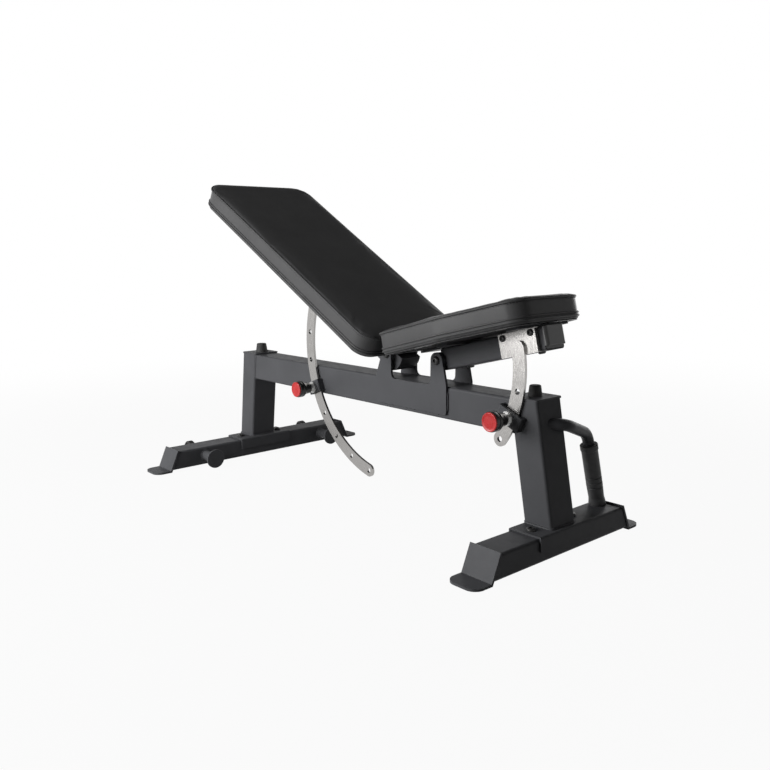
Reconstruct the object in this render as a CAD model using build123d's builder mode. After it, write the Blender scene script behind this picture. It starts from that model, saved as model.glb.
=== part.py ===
from build123d import *
import os
from math import cos, radians, sin

os.makedirs("parts", exist_ok=True)

# Adjustable weight bench, in millimetres and degrees.
# +X points to the seat end, +Z up, and the pull knobs are on the -Y side.
# The origin is on the floor, under the middle of the bench's outer box.

# Frame
foot_spacing = 1145.0
frame_tube = 75.0
tube_wall = 3.0
tube_corner = 6.0
beam_top = 318.0
post_depth = 70.0
post_width = 80.0
rear_post_lean = 0.14
front_post_lean = 0.17
rear_post_offset = -10.4
front_post_offset = -5.0
cap_plate = 4.0

# Floor tubes, their saddles and their foot plates
floor_tube_bottom = 5.0
floor_tube_top = 57.0
rear_half_length = 316.0
front_half_length = 223.0
end_slope_run = 23.0
foot_plate = 5.0
foot_tab = 51.0
foot_plate_width = 79.0
foot_tab_corner = 24.0
saddle_plate = 4.0
saddle_half_length = 87.0
saddle_leg = 27.0
saddle_bolt_y = 67.0
saddle_bolt = 10.0

# Hinges of the two halves, as photographed: third back notch, second seat notch
pivot_z = 376.0
back_pivot_run = 675.0
seat_pivot_run = 848.0
notch_step = 13.8
back_angle = 29.5
seat_angle = notch_step
pivot_bolt = 12.0
hub_diameter = 36.0
running_gap = 0.05
pivot_plate = 6.0
ear_radius = 16.5

# Support tubes, brackets and boards under the pads
support_width = 60.0
support_height = 50.0
lug_radius = 42.0
cap_nose = 8.0
cap_nose_height = 41.5
plug_depth = 12.0
pad_bracket = 6.0
pad_bracket_width = 40.0
tongue_inset = 6.0
board_thickness = 12.0
board_inset = 3.0
pad_bolt = 8.0
ladder_bolt = 8.0
button_height = 0.55

# Pads
pad_crown = 5.0
pad_edge = 5.5
pad_draw_in = 3.0
welt_height = 4.0
welt_stand = 1.5
top_seam_drop = 5.0
lower_seams = (6.0, 12.5)
back_low_half, back_head_half = 151.0, 163.5
back_low_corner, back_head_corner = 42.0, 60.0
seat_rear_half, seat_front_half = 150.0, 98.0
seat_shoulder = 125.0
seat_rear_corner, seat_front_corner, seat_shoulder_bend = 20.0, 40.0, 60.0

# Notched ladders and their pull pins
ladder_width = 32.0
ladder_thickness = 6.0
ladder_plate = 11.0
first_notch = -23.5
back_ladder_radius = 314.0
seat_ladder_radius = 243.0
notch_hole = 13.0
pin_diameter = 12.0
pin_travel = 9.0
guide_plate = 6.0
guide_depth = 12.5
guide_height = 32.0

# Rear wheels, band pegs and carry handle
wheel_radius = 25.0
wheel_width = 22.0
wheel_back = 66.0
wheel_z = 32.0
wheel_y = 206.0
axle_diameter = 10.0
peg_y = 209.0
peg_z = 33.0
peg_length = 63.0
handle_diameter = 25.0
handle_wall = 2.5
grip_diameter = 36.0
handle_bends = (50.0, 42.0)

# Places that follow from the driving dimensions
rear_reach = wheel_back + wheel_radius
front_reach = frame_tube / 2 + saddle_plate
rear_x = (rear_reach - foot_spacing - front_reach) / 2
front_x = rear_x + foot_spacing
half_tube = frame_tube / 2
saddle_top = floor_tube_top + saddle_plate
beam_bottom = beam_top - frame_tube
cap_top = beam_top + cap_plate
ladder_inner_y = -(support_width / 2 + ladder_plate)
ladder_mid_y = ladder_inner_y - ladder_thickness / 2
guide_face_y = -(half_tube + guide_depth + guide_plate)


def save(piece, name):
    piece.part.label = name
    export_step(piece.part, f"parts/{name}.step")


class Swing:
    """One tilting half of the bench: s runs along it from its hinge, h stands square to its pad."""

    def __init__(self, name, pivot_run, along, normal):
        self.name = name
        self.pivot = Vector(rear_x + pivot_run, 0, pivot_z)
        self.along = Vector(*along)
        self.normal = Vector(*normal)
        self.lateral = self.normal.cross(self.along)

    def point(self, s, h, y=0.0):
        return self.pivot + self.along * s + self.normal * h + Vector(0, y, 0)

    def plan(self, h):
        return Plane(self.point(0, h), x_dir=self.along, z_dir=self.normal)

    def side(self, y):
        return Plane(self.point(0, 0, y), x_dir=self.along, z_dir=-self.lateral)

    def section(self, s, h):
        return Plane(self.point(s, h), x_dir=self.lateral, z_dir=self.along)


back_cos, back_sin = cos(radians(back_angle)), sin(radians(back_angle))
seat_cos, seat_sin = cos(radians(seat_angle)), sin(radians(seat_angle))
back = Swing("back", back_pivot_run, (-back_cos, 0, back_sin), (back_sin, 0, back_cos))
seat = Swing("seat", seat_pivot_run, (seat_cos, 0, seat_sin), (-seat_sin, 0, seat_cos))

# Heights of each half above its hinge line, its length and its ladder
back.board_h, back.start, back.end = 18.0, -30.0, 764.0
seat.board_h, seat.start, seat.end = 31.0, -66.0, 308.5
back.pad_side, seat.pad_side = 45.0, 41.0
back.tube_end, seat.tube_end = 640.0, 299.0
back.end_radius, seat.end_radius = lug_radius, hub_diameter / 2
back.bolts_s, seat.bolts_s = (110.0, 560.0), (62.0, 265.0)
back.bracket_length, seat.bracket_length = 220.0, 160.0
back.radius, seat.radius = back_ladder_radius, seat_ladder_radius
back.notches, seat.notches = 7, 3
back.notch_now, seat.notch_now = 2, 1
back.guide_width, seat.guide_width = 48.0, 64.0
for half in (back, seat):
    half.tube_top = half.board_h - pad_bracket
    half.tube_mid = half.tube_top - support_height / 2
    half.pin_angle = radians(first_notch - notch_step * half.notch_now)
    half.pin = half.point(half.radius * cos(half.pin_angle), half.radius * sin(half.pin_angle))

# Floor tubes: closed rectangular tube with both ends sloped in towards the top
floor_tubes = (
    ("rear", rear_x, rear_half_length),
    ("front", front_x, front_half_length),
)
floor_tube_height = floor_tube_top - floor_tube_bottom
for end, x, half_length in floor_tubes:
    with BuildPart() as stabiliser:
        with BuildSketch(Plane.XZ) as section:
            with Locations((x, floor_tube_bottom + floor_tube_height / 2)):
                RectangleRounded(frame_tube, floor_tube_height, tube_corner)
                RectangleRounded(
                    frame_tube - 2 * tube_wall,
                    floor_tube_height - 2 * tube_wall,
                    tube_corner - tube_wall,
                    mode=Mode.SUBTRACT,
                )
        extrude(amount=half_length, both=True)
        for side in (-1, 1):
            end_plane = Plane(
                (x, side * half_length, floor_tube_bottom),
                z_dir=(0, side * floor_tube_height, end_slope_run),
            )
            split(bisect_by=end_plane, keep=Keep.BOTTOM)
        with Locations(Plane.XY.offset(floor_tube_top)):
            with Locations((x, -saddle_bolt_y), (x, saddle_bolt_y)):
                Hole(radius=saddle_bolt / 2, depth=tube_wall)
    save(stabiliser, f"{end}_stabiliser")

    # Saddle: plate bent down over the tube, which the post is welded to
    with BuildPart() as saddle:
        with BuildSketch(Plane.XZ) as bent_plate:
            with Locations((x, saddle_top)):
                Rectangle(
                    frame_tube + 2 * saddle_plate,
                    saddle_leg + saddle_plate,
                    align=(Align.CENTER, Align.MAX),
                )
            fillet(bent_plate.vertices().group_by(Axis.Y)[-1], radius=saddle_plate)
            with Locations((x, floor_tube_top)):
                Rectangle(
                    frame_tube, saddle_leg, align=(Align.CENTER, Align.MAX), mode=Mode.SUBTRACT
                )
        extrude(amount=saddle_half_length, both=True)
        with Locations(Plane.XY.offset(saddle_top)):
            with Locations((x, -saddle_bolt_y), (x, saddle_bolt_y)):
                Hole(radius=saddle_bolt / 2, depth=saddle_plate)
    save(saddle, f"{end}_saddle")

    # Foot plates: welded on the sloped ends and bent out into flat floor tabs
    for side_name, side in (("left", 1), ("right", -1)):
        slope = Vector(-end_slope_run, floor_tube_height).normalized()
        outward = Vector(slope.Y, -slope.X)
        low = Vector(half_length, floor_tube_bottom)
        inner_top = low + slope * (floor_tube_height / slope.Y + 2.0)
        outer_top = inner_top + outward * foot_plate
        inner_foot = low - slope * (floor_tube_bottom / slope.Y)
        outer_foot = low + outward * foot_plate
        outer_foot = outer_foot - slope * ((outer_foot.Y - foot_plate) / slope.Y)
        tip = half_length + foot_tab
        with BuildPart() as foot:
            with BuildSketch(Plane.YZ.offset(x)) as bent:
                with BuildLine():
                    Polyline(
                        (side * inner_top.X, inner_top.Y),
                        (side * outer_top.X, outer_top.Y),
                        (side * outer_foot.X, outer_foot.Y),
                        (side * tip, foot_plate),
                        (side * tip, 0),
                        (side * inner_foot.X, inner_foot.Y),
                        close=True,
                    )
                make_face()
            extrude(amount=foot_plate_width / 2, both=True)
            tip_edges = foot.edges().filter_by(Axis.Z).sort_by(Axis.Y)
            fillet(tip_edges[-2:] if side > 0 else tip_edges[:2], radius=foot_tab_corner)
        save(foot, f"{end}_{side_name}_foot")

# Button-head bolts that hold the saddles to the floor tubes
bolt_places = [(x, y) for _, x, _ in floor_tubes for y in (-saddle_bolt_y, saddle_bolt_y)]
with BuildPart() as saddle_bolts:
    with BuildSketch(Plane.XY.offset(saddle_top)) as heads:
        with Locations(*bolt_places):
            Circle(0.9 * saddle_bolt)
    extrude(amount=button_height * saddle_bolt)
    chamfer(saddle_bolts.faces().group_by(Axis.Z)[-1].edges(), length=0.3 * saddle_bolt)
    with BuildSketch(Plane.XY.offset(saddle_top)) as shanks:
        with Locations(*bolt_places):
            Circle(saddle_bolt / 2)
    extrude(amount=-(saddle_plate + tube_wall + 9.0))
save(saddle_bolts, "saddle_bolts")

# Leaning posts, with a cap plate and a tapered rubber stop on each
posts = (
    ("rear", rear_x + rear_post_offset, rear_post_lean, 36.0, 28.0, 26.0, 9.0),
    ("front", front_x + front_post_offset, -front_post_lean, 30.0, 24.0, 23.0, 0.0),
)
post_planes = {}
for end, x, lean, base_diameter, top_diameter, stop_height, stop_shift in posts:
    axis = Vector(lean, 0, 1).normalized()
    foot_plane = Plane((x, 0, floor_tube_top), x_dir=(axis.Z, 0, -axis.X), z_dir=axis)
    post_planes[end] = foot_plane
    with BuildPart() as post:
        with BuildSketch(foot_plane):
            RectangleRounded(post_depth, post_width, tube_corner)
            RectangleRounded(
                post_depth - 2 * tube_wall,
                post_width - 2 * tube_wall,
                tube_corner - tube_wall,
                mode=Mode.SUBTRACT,
            )
        extrude(amount=2 * beam_top, both=True)
        split(bisect_by=Plane.XY.offset(beam_top), keep=Keep.BOTTOM)
        split(bisect_by=Plane.XY.offset(saddle_top), keep=Keep.TOP)
    save(post, f"{end}_post")

    top_x = x + lean * (beam_top - floor_tube_top)
    with BuildPart() as post_cap:
        with BuildSketch(Plane.XY.offset(beam_top)):
            with Locations((top_x, 0)):
                RectangleRounded(post_depth + 6.0, post_width + 2.0, tube_corner)
        extrude(amount=cap_plate)
        chamfer(post_cap.faces().sort_by(Axis.Z)[-1].edges(), length=1.0)
    save(post_cap, f"{end}_post_cap")

    with BuildPart() as bumper:
        stop_x = top_x + stop_shift
        with BuildSketch(Plane.XY.offset(cap_top)):
            with Locations((stop_x, 0)):
                Circle(base_diameter / 2)
        with BuildSketch(Plane.XY.offset(cap_top + stop_height)):
            with Locations((stop_x, 0)):
                Circle(top_diameter / 2)
        loft()
        fillet(bumper.faces().sort_by(Axis.Z)[-1].edges(), radius=3.0)
    save(bumper, f"{end}_bumper")

# Main beam: square tube cut to the lean of the posts it is welded between
with BuildPart() as main_beam:
    with BuildSketch(Plane.YZ.offset(rear_x)):
        with Locations((0, beam_top - half_tube)):
            RectangleRounded(frame_tube, frame_tube, tube_corner)
            RectangleRounded(
                frame_tube - 2 * tube_wall,
                frame_tube - 2 * tube_wall,
                tube_corner - tube_wall,
                mode=Mode.SUBTRACT,
            )
    extrude(amount=foot_spacing)
    for end, toward in (("rear", 1), ("front", -1)):
        face_dir = post_planes[end].x_dir * toward
        post_face = Plane(post_planes[end].origin + face_dir * (post_depth / 2), z_dir=face_dir)
        split(bisect_by=post_face, keep=Keep.TOP)
save(main_beam, "main_beam")

# Pivot plates: one on each side of the beam, with an ear for each hinge
plate_rear, plate_front = rear_x + 636.0, rear_x + 879.0
plate_bottom = beam_bottom + 11.0
ear_root = beam_top - 18.0
rear_ear_front, front_ear_rear = back.pivot.X + 16.5, seat.pivot.X - 20.0
for side_name, side in (("left", 1), ("right", -1)):
    with BuildPart() as plate:
        with BuildSketch(Plane.XZ.offset(-side * half_tube)) as outline:
            with BuildSketch(mode=Mode.PRIVATE) as rear_ear:
                with Locations((back.pivot.X, pivot_z)):
                    Circle(ear_radius)
                with Locations((plate_rear, ear_root)):
                    Rectangle(rear_ear_front - plate_rear, 22.0, align=(Align.MIN, Align.MIN))
                make_hull()
            with BuildSketch(mode=Mode.PRIVATE) as front_ear:
                with Locations((seat.pivot.X, pivot_z)):
                    Circle(ear_radius + 2.0)
                with Locations((front_ear_rear, ear_root)):
                    Rectangle(plate_front - front_ear_rear, 22.0, align=(Align.MIN, Align.MIN))
                make_hull()
            with Locations((plate_rear, plate_bottom)):
                Rectangle(
                    plate_front - plate_rear, beam_top - plate_bottom, align=(Align.MIN, Align.MIN)
                )
            fillet(outline.vertices().group_by(Axis.Y)[0], radius=8.0)
            add(rear_ear.sketch)
            add(front_ear.sketch)
            with Locations((back.pivot.X, pivot_z), (seat.pivot.X, pivot_z)):
                Circle(pivot_bolt / 2, mode=Mode.SUBTRACT)
        extrude(amount=-side * pivot_plate)
        notch_corners = (
            plate.edges()
            .filter_by(Axis.Y)
            .filter_by(lambda edge: abs(edge.center().Z - beam_top) < 0.5)
            .filter_by(lambda edge: rear_ear_front - 1 < edge.center().X < front_ear_rear + 1)
        )
        fillet(notch_corners, radius=13.0)
    save(plate, f"{side_name}_pivot_plate")

# Hinge bolts with a button head on the knob side and a nut on the other
plate_face = half_tube + pivot_plate
nut_height = 9.0
with BuildPart() as pivot_bolts:
    for half in (back, seat):
        with BuildSketch(Plane(half.point(0, 0, -plate_face), z_dir=(0, -1, 0))):
            Circle(0.85 * pivot_bolt)
        extrude(amount=button_height * pivot_bolt)
    chamfer(pivot_bolts.faces().group_by(Axis.Y)[0].edges(), length=0.25 * pivot_bolt)
    for half in (back, seat):
        with BuildSketch(Plane(half.point(0, 0, -plate_face), z_dir=(0, 1, 0))):
            Circle(pivot_bolt / 2)
        extrude(amount=2 * plate_face + nut_height + 2.0)
save(pivot_bolts, "pivot_bolts")

with BuildPart() as pivot_nuts:
    for half in (back, seat):
        with BuildSketch(Plane(half.point(0, 0, plate_face), z_dir=(0, 1, 0))):
            RegularPolygon(9.5, 6, major_radius=False)
            Circle(pivot_bolt / 2, mode=Mode.SUBTRACT)
        extrude(amount=nut_height)
save(pivot_nuts, "pivot_nuts")

# Ladder guides: channels welded to the beam that the ladders slide through
for half in (back, seat):
    radial = (half.pin - half.pivot).normalized()
    with BuildPart() as guide:
        beam_side = Plane((half.pin.X, -half_tube, half.pin.Z), x_dir=radial, z_dir=(0, -1, 0))
        with BuildSketch(beam_side):
            Rectangle(half.guide_width, guide_height)
        extrude(amount=guide_depth + guide_plate)
        fillet(guide.faces().sort_by(Axis.Y)[0].edges().filter_by(lambda e: abs(
            e.tangent_at(0.5).dot(radial)) < 0.1), radius=4.0)
        with BuildSketch(beam_side):
            Rectangle(half.guide_width - 2 * guide_plate, guide_height)
        extrude(amount=guide_depth, mode=Mode.SUBTRACT)
        with BuildSketch(beam_side):
            Circle(pin_diameter / 2 + running_gap)
        extrude(amount=guide_depth + guide_plate, mode=Mode.SUBTRACT)
        with BuildSketch(post_planes["front"]):
            RectangleRounded(post_depth, post_width, tube_corner)
        extrude(amount=beam_top, mode=Mode.SUBTRACT)
    save(guide, f"{half.name}_ladder_guide")

# Pull pins. Drawn clear of the ladder: the nose stops just outside it, and drops in by pin_travel.
nose_clear = 2.2
nose_tip = ladder_inner_y - ladder_thickness - nose_clear
housing_length = 24.0
housing_wall = 4.0
stem_diameter = 8.0
nose_shoulder = guide_face_y - 10.0
knob_start = guide_face_y - 14.0
knob_length = 40.0
knob_pocket = 22.0
knob_cap_height = 4.0
for half in (back, seat):
    pin_axis = Axis((half.pin.X, 0, half.pin.Z), (0, -1, 0))
    profile_plane = Plane((half.pin.X, 0, half.pin.Z), x_dir=(1, 0, 0), z_dir=(0, 0, 1))
    housing_end = guide_face_y - housing_length
    spring_seat = housing_end + housing_wall

    with BuildPart() as housing:
        with BuildSketch(profile_plane):
            with BuildLine():
                Polyline(
                    (pin_diameter / 2 + running_gap, guide_face_y),
                    (15.0, guide_face_y),
                    (15.0, guide_face_y - 5.0),
                    (11.0, guide_face_y - 5.0),
                    (11.0, housing_end),
                    (stem_diameter / 2 + running_gap, housing_end),
                    (stem_diameter / 2 + running_gap, spring_seat),
                    (pin_diameter / 2 + running_gap, spring_seat),
                    close=True,
                )
            make_face()
        revolve(axis=pin_axis)
    save(housing, f"{half.name}_pin_housing")

    knob_end = knob_start - knob_length
    with BuildPart() as plunger:
        with BuildSketch(profile_plane):
            with BuildLine():
                Polyline(
                    (0, nose_tip),
                    (pin_diameter / 2 - 2.0, nose_tip),
                    (pin_diameter / 2, nose_tip - 2.0),
                    (pin_diameter / 2, nose_shoulder),
                    (stem_diameter / 2, nose_shoulder),
                    (stem_diameter / 2, knob_end + 6.0),
                    (0, knob_end + 6.0),
                    close=True,
                )
            make_face()
        revolve(axis=pin_axis)
    save(plunger, f"{half.name}_pin_plunger")

    with BuildPart() as spring:
        with BuildSketch(Plane((half.pin.X, nose_shoulder, half.pin.Z), z_dir=(0, -1, 0))):
            Circle(pin_diameter / 2 - 0.3)
            Circle(stem_diameter / 2 + 0.4, mode=Mode.SUBTRACT)
        extrude(amount=nose_shoulder - spring_seat)
    save(spring, f"{half.name}_pin_spring")

    pocket_end = knob_start - knob_pocket
    with BuildPart() as knob:
        with BuildSketch(profile_plane):
            with BuildLine():
                Polyline(
                    (11.4, knob_start),
                    (14.0, knob_start),
                    (15.0, knob_start - 10.0),
                )
                ThreePointArc(
                    (15.0, knob_start - 10.0), (17.0, knob_start - 18.0), (21.5, knob_start - 24.0)
                )
                Polyline(
                    (21.5, knob_start - 24.0),
                    (21.5, knob_end + 2.0),
                    (19.5, knob_end),
                    (stem_diameter / 2, knob_end),
                    (stem_diameter / 2, pocket_end),
                    (11.4, pocket_end),
                    (11.4, knob_start),
                )
            make_face()
        revolve(axis=pin_axis)
        with BuildSketch(Plane((half.pin.X, knob_end, half.pin.Z), z_dir=(0, 1, 0))):
            Circle(stem_diameter / 2)
        extrude(amount=6.0)
    save(knob, f"{half.name}_knob")

    with BuildPart() as knob_cap:
        with BuildSketch(Plane((half.pin.X, knob_end, half.pin.Z), z_dir=(0, -1, 0))):
            Circle(18.5)
        extrude(amount=knob_cap_height)
        fillet(knob_cap.faces().sort_by(Axis.Y)[0].edges(), radius=3.0)
    save(knob_cap, f"{half.name}_knob_cap")

# Carry handle: round tube from the front face of the front post down to the floor tube
handle_root = (rear_x + 1124.0, -11.0, 270.0)
handle_out = (rear_x + 1154.0, 28.0, 266.0)
handle_bend = Vector(rear_x + 1127.5, 140.0, 225.0)
handle_foot = Vector(rear_x + 1132.0, 180.0, floor_tube_top)
grip_dir = (handle_bend - handle_foot).normalized()
with BuildPart() as carry_handle:
    with BuildLine() as route:
        FilletPolyline(
            handle_root, handle_out, handle_bend, handle_foot - grip_dir * 10.0, radius=handle_bends
        )
    with BuildSketch(Plane(route.edges()[0] @ 0, z_dir=route.edges()[0] % 0)):
        Circle(handle_diameter / 2)
        Circle(handle_diameter / 2 - handle_wall, mode=Mode.SUBTRACT)
    sweep()
    split(bisect_by=Plane.XY.offset(floor_tube_top), keep=Keep.TOP)
    with BuildSketch(post_planes["front"]):
        RectangleRounded(post_depth, post_width, tube_corner)
    extrude(amount=beam_top, mode=Mode.SUBTRACT)
save(carry_handle, "carry_handle")

# Moulded grip on the handle's straight leg, with three grooves and a flared foot
grip_length = 147.0
grip_radius = grip_diameter / 2
with BuildPart() as handle_grip:
    grip_plane = Plane(handle_foot, x_dir=grip_dir.cross(Vector(0, 1, 0)), z_dir=grip_dir)
    with BuildSketch(Plane(handle_foot, x_dir=grip_plane.x_dir, z_dir=-grip_plane.y_dir)):
        with BuildLine():
            Polyline(
                (handle_diameter / 2, -12.0),
                (grip_radius + 0.7, -12.0),
                (grip_radius + 0.7, 8.0),
                (grip_radius - 1.0, 20.0),
                (grip_radius, 50.0),
                (grip_radius, grip_length - 14.0),
                (grip_radius + 1.5, grip_length - 12.0),
                (grip_radius + 1.5, grip_length - 1.0),
                (grip_radius + 0.5, grip_length),
                (handle_diameter / 2, grip_length),
                close=True,
            )
        make_face()
        with Locations(*[(grip_radius + 0.4, z) for z in (46.0, 58.0, 70.0)]):
            Circle(2.0, mode=Mode.SUBTRACT)
    revolve(axis=Axis(handle_foot, grip_dir))
    split(bisect_by=Plane.XY.offset(floor_tube_top), keep=Keep.TOP)
save(handle_grip, "handle_grip")

# Band pegs: round pegs with a retaining disc, on the front face of the rear floor tube
with BuildPart() as band_pegs:
    peg_root = Plane.YZ.offset(rear_x + half_tube)
    with BuildSketch(peg_root):
        with Locations((-peg_y, peg_z), (peg_y, peg_z)):
            Circle(14.0)
    extrude(amount=peg_length)
    with BuildSketch(peg_root.offset(peg_length - 5.0)):
        with Locations((-peg_y, peg_z), (peg_y, peg_z)):
            Circle(27.0)
    extrude(amount=5.0)
    chamfer(band_pegs.faces().group_by(Axis.X)[-1].edges(), length=1.0)
save(band_pegs, "band_pegs")

# Transport wheels behind the rear floor tube, each on its own axle between two plates
wheel_x = rear_x - wheel_back
bracket_plate = 4.0
bracket_gap = 1.5
for side_name, side in (("left", 1), ("right", -1)):
    with BuildPart() as wheel:
        with BuildSketch(Plane((wheel_x, side * wheel_y, wheel_z), x_dir=(1, 0, 0), z_dir=(0, 0, 1))):
            with BuildLine():
                bore = axle_diameter / 2 + running_gap
                half_width = wheel_width / 2
                Polyline(
                    (bore, -half_width),
                    (bore + 5.0, -half_width),
                    (bore + 5.0, -half_width + 5.0),
                    (wheel_radius - 6.0, -half_width + 5.0),
                    (wheel_radius - 6.0, -half_width + 1.5),
                    (wheel_radius - 3.0, -half_width + 1.5),
                    (wheel_radius, -half_width + 4.5),
                    (wheel_radius, 0),
                    (bore, 0),
                    close=True,
                )
            make_face()
            mirror(about=Plane.XZ)
        revolve(axis=Axis((wheel_x, 0, wheel_z), (0, 1, 0)))
    save(wheel, f"{side_name}_wheel")

plate_places = [
    side * wheel_y + out * (wheel_width / 2 + bracket_gap + bracket_plate / 2)
    for side in (-1, 1)
    for out in (-1, 1)
]
with BuildPart() as wheel_brackets:
    for y in plate_places:
        with BuildSketch(Plane.XZ.offset(-y)):
            with Locations((wheel_x, wheel_z)):
                Circle(13.0)
            with Locations((rear_x - half_tube, wheel_z)):
                Rectangle(3.0, 40.0, align=(Align.MAX, Align.CENTER))
            make_hull()
            with Locations((wheel_x, wheel_z)):
                Circle(axle_diameter / 2, mode=Mode.SUBTRACT)
        extrude(amount=bracket_plate / 2, both=True)
save(wheel_brackets, "wheel_brackets")

with BuildPart() as wheel_axles:
    axle_half = wheel_width / 2 + bracket_gap + bracket_plate
    for side in (-1, 1):
        with BuildSketch(Plane((wheel_x, side * wheel_y, wheel_z), z_dir=(0, 1, 0))):
            Circle(axle_diameter / 2)
        extrude(amount=axle_half, both=True)
        for out in (-1, 1):
            head_y = side * wheel_y + out * axle_half
            with BuildSketch(Plane((wheel_x, head_y, wheel_z), z_dir=(0, out, 0))):
                Circle(8.0)
            extrude(amount=5.0)
save(wheel_axles, "wheel_axles")


def pad_outline(half, inset):
    """Plan of a pad: the back widens to its head, the seat narrows to its front."""
    with BuildSketch(mode=Mode.PRIVATE) as plan:
        with BuildLine():
            if half is back:
                low, high = back_low_half, back_head_half
                middle = (half.start + half.end) / 2
                side_y = (low + high) / 2 - pad_draw_in
                Line((half.start, -low), (half.start, low))
                ThreePointArc((half.start, low), (middle, side_y), (half.end, high))
                Line((half.end, high), (half.end, -high))
                ThreePointArc((half.end, -high), (middle, -side_y), (half.start, -low))
            else:
                wide, narrow, shoulder = seat_rear_half, seat_front_half, seat_shoulder
                middle = (half.start + shoulder) / 2
                Line((half.start, -wide), (half.start, wide))
                ThreePointArc((half.start, wide), (middle, wide - pad_draw_in), (shoulder, wide))
                Line((shoulder, wide), (half.end, narrow))
                Line((half.end, narrow), (half.end, -narrow))
                Line((half.end, -narrow), (shoulder, -wide))
                ThreePointArc((shoulder, -wide), (middle, pad_draw_in - wide), (half.start, -wide))
        make_face()
        if half is back:
            fillet(plan.vertices().group_by(Axis.X)[0], radius=back_low_corner)
            fillet(plan.vertices().group_by(Axis.X)[-1], radius=back_head_corner)
        else:
            fillet(plan.vertices().group_by(Axis.X)[0], radius=seat_rear_corner)
            fillet(plan.vertices().group_by(Axis.X)[-1], radius=seat_front_corner)
            shoulders = plan.vertices().filter_by(lambda v: abs(v.X - shoulder) < 0.5)
            fillet(shoulders, radius=seat_shoulder_bend)
        if inset:
            offset(amount=-inset)
    return plan.sketch


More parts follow.
